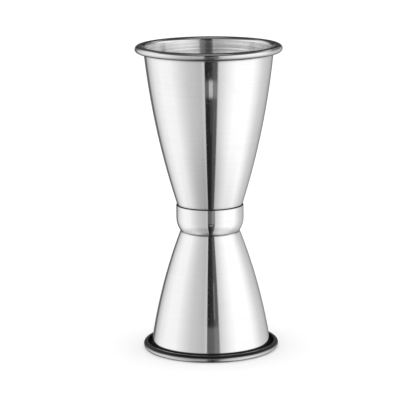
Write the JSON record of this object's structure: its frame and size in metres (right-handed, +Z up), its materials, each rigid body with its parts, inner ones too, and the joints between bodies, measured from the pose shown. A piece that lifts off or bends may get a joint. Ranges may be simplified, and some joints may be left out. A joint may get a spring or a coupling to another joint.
{
  "type": "bar jigger",
  "caption": "Double-ended spirit measure: two rolled-rim steel cups of different size, spot-welded base to base through a waist collar.",
  "frame": {"origin": "centre of the ring on which the lower cup's rim stands on the table", "axes": "+Z up the axis of revolution, from the small cup's rim to the large cup's rim; +X passes through one of the weld nuggets"},
  "size_m": [0.042, 0.042, 0.088],
  "materials": {
    "upper_cup": "polished",
    "lower_cup": "polished",
    "waist_collar": "polished",
    "spot_welds": "matte"
  },
  "bodies": {
    "root": {"upper_cup": "upper_cup", "lower_cup": "lower_cup", "waist_collar": "waist_collar", "spot_welds": "spot_welds"}
  },
  "joints": []
}
